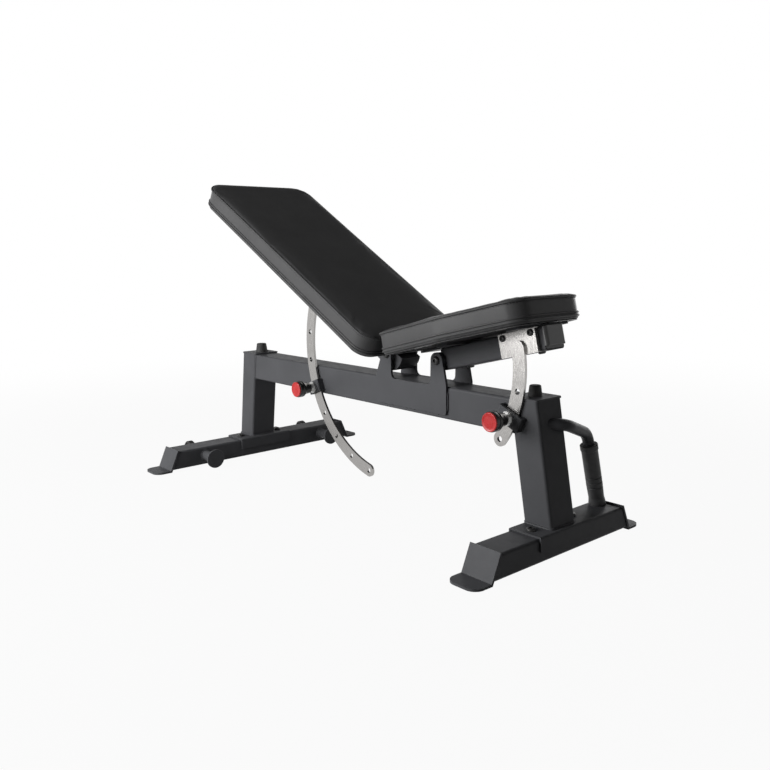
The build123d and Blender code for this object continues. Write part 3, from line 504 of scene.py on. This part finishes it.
def cushion_plan(corners, inset):
    """The pad's outline from its corners (along, across, tangent length), with sides drawn in."""
    plan = bmesh.new()
    dots = [plan.verts.new((s, y, 0)) for s, y, reach in corners]
    plan.faces.new(dots)
    for dot, (s, y, reach) in zip(dots, corners):
        bmesh.ops.bevel(
            plan, geom=[dot], offset=reach, segments=9, affect="VERTICES", profile=0.5, material=-1
        )
    sides = [e for e in plan.edges if e.calc_length() > 0.1]
    bmesh.ops.subdivide_edges(plan, edges=sides, cuts=24)
    low = min(s for s, y, reach in corners)
    high = max(s for s, y, reach in corners if abs(y) == widest(corners))
    for v in plan.verts:
        share = (v.co.x - low) / (high - low)
        if 0 < share < 1 and abs(v.co.y) > 0.09:
            v.co.y -= draw_in * 4 * share * (1 - share) * (1 if v.co.y > 0 else -1)
    if inset:
        bmesh.ops.inset_region(
            plan, faces=plan.faces[:], thickness=inset, use_boundary=True, use_even_offset=True
        )
        rim = [f for f in plan.faces if len(f.verts) == 4]
        bmesh.ops.delete(plan, geom=rim, context="FACES")
    return plan


def widest(corners):
    return max(abs(y) for s, y, reach in corners)


def rim_points(corners, inset, height):
    """The outline at a height above the hinge, walked once round in order."""
    plan = cushion_plan(corners, inset)
    ring = [Vector((v.co.x, v.co.y, height)) for v in plan.faces[:][0].verts]
    plan.free()
    return ring


def finished_mesh(thing):
    """The mesh as its modifiers leave it."""
    return bpy.data.meshes.new_from_object(thing.evaluated_get(bpy.context.evaluated_depsgraph_get()))


pressure, fullness, puff_frames = 4.0, -0.014, 20
band_swell, top_swell = 0.0032, 0.0050


def puff(thing, held, full):
    """Blows a remeshed cushion up as cloth over its foam, held where it is sewn or nailed."""
    group = thing.vertex_groups.new(name="sewn")
    loose = thing.vertex_groups.new(name="full")
    start = [v.co.copy() for v in thing.data.vertices]
    for v in thing.data.vertices:
        if held(v.co):
            group.add([v.index], 1.0, "REPLACE")
        loose.add([v.index], 1.0 if full(v.co) else 0.0, "REPLACE")
    cloth = thing.modifiers.new("cover", "CLOTH")
    cloth.settings.use_pressure = True
    cloth.settings.uniform_pressure_force = pressure
    cloth.settings.vertex_group_mass = "sewn"
    cloth.settings.vertex_group_shrink = "full"
    cloth.settings.shrink_min, cloth.settings.shrink_max = 0.0, fullness
    cloth.settings.effector_weights.gravity = 0.0
    cloth.point_cache.frame_end = puff_frames
    for step in range(1, puff_frames + 1):
        scene.frame_set(step)
    blown = finished_mesh(thing)
    for v, was, now in zip(thing.data.vertices, start, blown.vertices):
        move = now.co - was
        limit = band_swell if full(was) else top_swell
        v.co = was + move * limit / (limit + move.length)
    thing.modifiers.clear()
    bpy.data.meshes.remove(blown)
    scene.frame_set(1)
    thing.vertex_groups.clear()


def lay_along(shape, steps, length, width, height):
    """Lays short threads or staples one after the other round a ring."""
    for here, there in zip(steps, steps[1:] + steps[:1]):
        turn = (there - here).to_track_quat("X", "Z").to_matrix().to_4x4()
        size = Matrix.Diagonal((length, width, height, 1))
        bmesh.ops.create_cube(shape, size=1.0, matrix=Matrix.Translation(here) @ turn @ size)


thread = plain_finish("black_thread", (0.060, 0.060, 0.062), 0.6, specular=0.2)
relief(thread, grain(thread, 3000.0, 2.0), 0.3, 0.0003)
cover_inset, edge_round, skin_voxel = 0.0008, 0.003, 0.0048
top_seam, lower_seams, seam_step = 0.007, (0.008, 0.0145), 0.006
board_wrap, seam_hold = 0.017, 0.0027
stitch_drop, stitch_long, stitch_thick = 0.0042, 0.0043, 0.0008
flap_edge, flap_wide, flap_thick = 0.004, 0.026, 0.0009
staple_inset, staple_step = 0.019, 0.036
cushions = (
    ("back", "backrest", back_frame, 0.018, 0.0585,
     ((-0.030, -0.154, 0.042), (0.7655, -0.1655, 0.047), (0.7655, 0.1655, 0.047), (-0.030, 0.154, 0.042))),
    ("seat", "seat", seat_frame, 0.031, 0.055,
     ((-0.0635, -0.151, 0.020), (0.125, -0.151, 0.0085), (0.3095, -0.0995, 0.030),
      (0.3095, 0.0995, 0.030), (0.125, 0.151, 0.0085), (-0.0635, 0.151, 0.020))),
)
for name, body, frame_of, base, rise, corners in cushions:
    shape = cushion_plan(corners, cover_inset)
    bmesh.ops.translate(shape, verts=shape.verts, vec=(0, 0, base + 0.0004))
    top = bmesh.ops.extrude_face_region(shape, geom=shape.faces[:])["geom"]
    lid = [v for v in top if isinstance(v, bmesh.types.BMVert)]
    bmesh.ops.translate(shape, verts=lid, vec=(0, 0, rise - 0.001))
    bmesh.ops.bevel(
        shape, geom=[e for e in shape.edges if all(v in set(lid) for v in e.verts)], offset=edge_round,
        segments=3, affect="EDGES", profile=0.5, material=-1,
    )
    bmesh.ops.recalc_face_normals(shape, faces=shape.faces)
    pad = piece(f"{name}_cushion", shape, vinyl, body)
    mesh_skin = pad.modifiers.new("skin", "REMESH")
    mesh_skin.mode = "VOXEL"
    mesh_skin.voxel_size = skin_voxel
    meshed = finished_mesh(pad)
    pad.modifiers.clear()
    pad.data = meshed
    seam_height = base + rise - top_seam
    puff(
        pad, lambda at: at.z < base + board_wrap or abs(at.z - seam_height) < seam_hold,
        lambda at: at.z < seam_height,
    )
    smooth = pad.modifiers.new("soft_skin", "SUBSURF")
    smooth.levels = smooth.render_levels = 1
    pad.data.transform(frame_of)
    pad.data.shade_smooth()
    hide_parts(f"{name}_pad")
    seams = bmesh.new()
    for height, thick, inset in (
        (seam_height, 0.0025, 0.0),
        (base + lower_seams[0], 0.0027, 0.0006),
        (base + lower_seams[1], 0.0023, 0.0004),
    ):
        ring = [frame_of @ at for at in walk(rim_points(corners, inset, height), seam_step)]
        rope_of(seams, ring, thick, True)
    bmesh.ops.recalc_face_normals(seams, faces=seams.faces)
    piece(f"{name}_cushion_seams", seams, vinyl, body)
    threads = bmesh.new()
    row = rim_points(corners, cover_inset - 0.0002, seam_height - stitch_drop)
    stitch_row = [frame_of @ at for at in row]
    lay_along(threads, walk(stitch_row, seam_step), stitch_long, stitch_thick, stitch_thick)
    piece(f"{name}_cushion_stitches", threads, thread, body)
    flap = cushion_plan(corners, flap_edge)
    bmesh.ops.inset_region(
        flap, faces=flap.faces[:], thickness=flap_wide, use_boundary=True, use_even_offset=True
    )
    middle = max(flap.faces, key=lambda f: f.calc_area())
    bmesh.ops.delete(flap, geom=[middle], context="FACES_ONLY")
    bmesh.ops.translate(flap, verts=flap.verts, vec=(0, 0, base - 0.0002))
    hem = bmesh.ops.extrude_face_region(flap, geom=flap.faces[:])["geom"]
    under = [v for v in hem if isinstance(v, bmesh.types.BMVert)]
    bmesh.ops.translate(flap, verts=under, vec=(0, 0, -flap_thick))
    bmesh.ops.transform(flap, matrix=frame_of, verts=flap.verts)
    bmesh.ops.recalc_face_normals(flap, faces=flap.faces)
    crease(piece(f"{name}_cushion_flap", flap, vinyl, body))
    staples = bmesh.new()
    nailed = [frame_of @ at for at in rim_points(corners, staple_inset, base - 0.0014)]
    lay_along(staples, walk(nailed, staple_step), 0.011, 0.0012, 0.0008)
    piece(f"{name}_flap_staples", staples, black_oxide, body)

# Ladders and their plates: flat mild steel, ground bright and left with a brushed nickel look;
# the grinding lines of a ladder run along its arc.
grind_scale, grind_detail = 90.0, 5.0


def brushed_steel(name, pivot):
    made = plain_finish(name, (0.38, 0.37, 0.36), 0.24, metal=1.0)
    links = made.node_tree.links
    make = made.node_tree.nodes.new
    if pivot is None:
        lines = grain(made, grind_scale, grind_detail, (9.0, 9.0, 0.5))
    else:
        place = make("ShaderNodeTexCoord")
        centre = make("ShaderNodeMapping")
        centre.inputs["Location"].default_value = (-pivot.x, 0, -pivot.z)
        links.new(place.outputs["Object"], centre.inputs["Vector"])
        flat = make("ShaderNodeSeparateXYZ")
        links.new(centre.outputs["Vector"], flat.inputs["Vector"])
        turn = make("ShaderNodeMath")
        turn.operation = "ARCTAN2"
        links.new(flat.outputs["Z"], turn.inputs[0])
        links.new(flat.outputs["X"], turn.inputs[1])
        level = make("ShaderNodeVectorMath")
        level.operation = "MULTIPLY"
        level.inputs[1].default_value = (1, 0, 1)
        links.new(centre.outputs["Vector"], level.inputs[0])
        reach = make("ShaderNodeVectorMath")
        reach.operation = "LENGTH"
        links.new(level.outputs["Vector"], reach.inputs[0])
        polar = make("ShaderNodeCombineXYZ")
        links.new(reach.outputs["Value"], polar.inputs["X"])
        links.new(turn.outputs["Value"], polar.inputs["Y"])
        links.new(flat.outputs["Y"], polar.inputs["Z"])
        stretch = make("ShaderNodeMapping")
        stretch.inputs["Scale"].default_value = (9.0, 0.2, 9.0)
        links.new(polar.outputs["Vector"], stretch.inputs["Vector"])
        noise = make("ShaderNodeTexNoise")
        noise.inputs["Scale"].default_value = grind_scale
        noise.inputs["Detail"].default_value = grind_detail
        links.new(stretch.outputs["Vector"], noise.inputs["Vector"])
        lines = noise.outputs["Fac"]
    tint(made, lines, (0.35, 0.34, 0.33), (0.405, 0.395, 0.385))
    spread(made, lines, "Roughness", 0.19, 0.30)
    relief(made, lines, 0.05, 0.0001)
    return made


dress(brushed_steel("brushed_back_ladder", back_pivot), "back_ladder")
dress(brushed_steel("brushed_seat_ladder", seat_pivot), "seat_ladder")
dress(brushed_steel("brushed_ladder_plate", None), "back_ladder_plate", "seat_ladder_plate")

# Pull pins: zinc-plated housings and plungers with bright springs, each under a moulded black
# plastic knob whose plain red cap closes the end.
dress(zinc, "back_pin_housing", "seat_pin_housing", "back_pin_plunger", "seat_pin_plunger")
dress(zinc, "back_pin_spring", "seat_pin_spring", "wheel_axles")
knob_plastic = plain_finish("moulded_black_plastic", (0.018, 0.018, 0.018), 0.34, specular=0.42)
tint(knob_plastic, grain(knob_plastic, 60.0), (0.015, 0.015, 0.015), (0.022, 0.022, 0.022))
spread(knob_plastic, grain(knob_plastic, 300.0), "Roughness", 0.29, 0.40)
relief(knob_plastic, grain(knob_plastic, 1600.0, 2.0), 0.08, 0.0002)
dress(knob_plastic, "back_tube_cap", "seat_tube_cap")
red_plastic = plain_finish("plain_red_cap", (0.42, 0.010, 0.011), 0.30, specular=0.4)
tint(red_plastic, grain(red_plastic, 120.0), (0.385, 0.008, 0.009), (0.455, 0.012, 0.012))
spread(red_plastic, grain(red_plastic, 260.0), "Roughness", 0.25, 0.38)
knob_profile = (
    (0.0114, 0.0360), (0.0114, 0.0146), (0.0118, 0.0144), (0.0137, 0.0144), (0.0141, 0.0149),
    (0.0150, 0.0240), (0.0157, 0.0283), (0.0170, 0.0320), (0.0189, 0.0352), (0.0208, 0.0374),
    (0.0214, 0.0386), (0.0215, 0.0432), (0.0211, 0.0438), (0.0215, 0.0444), (0.0215, 0.0522),
    (0.0211, 0.0534), (0.0205, 0.0539), (0.0042, 0.0539), (0.0042, 0.0360), (0.0114, 0.0360),
)
cap_profile = (
    (0.0, 0.0540), (0.0202, 0.0540), (0.0203, 0.0560), (0.0199, 0.0571), (0.0190, 0.0577),
    (0.0178, 0.0577), (0.0172, 0.0573), (0.0110, 0.0577), (0.0, 0.0579),
)
guide_face = 0.056
for name, frame_of, reach, notch in (
    ("back", back_frame, 0.314, radians(-51.1)), ("seat", seat_frame, 0.243, radians(-37.3)),
):
    pin = frame_of @ Vector((reach * cos(notch), 0, reach * sin(notch)))
    for part, profile, made, stands_for, slot in (
        ("pull_knob", knob_profile, knob_plastic, "knob", "knob_plastic"),
        ("knob_face", cap_profile, red_plastic, "knob_cap", "knob_cap_red"),
    ):
        shape = bmesh.new()
        set_in(shape, as_mesh(turned(profile, 56)), pin + Vector((0, -guide_face, 0)), (0, -1, 0))
        moulded = piece(f"{name}_{part}", shape, made, f"{name}_pin")
        crease(moulded)
        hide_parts(f"{name}_{stands_for}")

# Rubber: tapered bumpers pressed into the post caps and solid wheels on their axles, and a
# softer moulded sleeve pushed over the carry handle for the hand.
rubber = plain_finish("black_rubber", (0.034, 0.034, 0.034), 0.62, specular=0.25)
tint(rubber, grain(rubber, 70.0, 6.0), (0.028, 0.028, 0.028), (0.041, 0.041, 0.0405))
spread(rubber, grain(rubber, 240.0), "Roughness", 0.58, 0.78)
relief(rubber, grain(rubber, 1500.0, 2.0), 0.3, 0.0003)
dress(rubber, "rear_bumper", "front_bumper", "left_wheel", "right_wheel")
soft_grip = plain_finish("soft_grip_rubber", (0.052, 0.052, 0.053), 0.5, specular=0.25)
tint(soft_grip, grain(soft_grip, 90.0, 6.0), (0.045, 0.045, 0.046), (0.060, 0.060, 0.061))
spread(soft_grip, grain(soft_grip, 300.0), "Roughness", 0.44, 0.58)
relief(soft_grip, grain(soft_grip, 1200.0, 2.0), 0.25, 0.0003)
dress(soft_grip, "handle_grip")
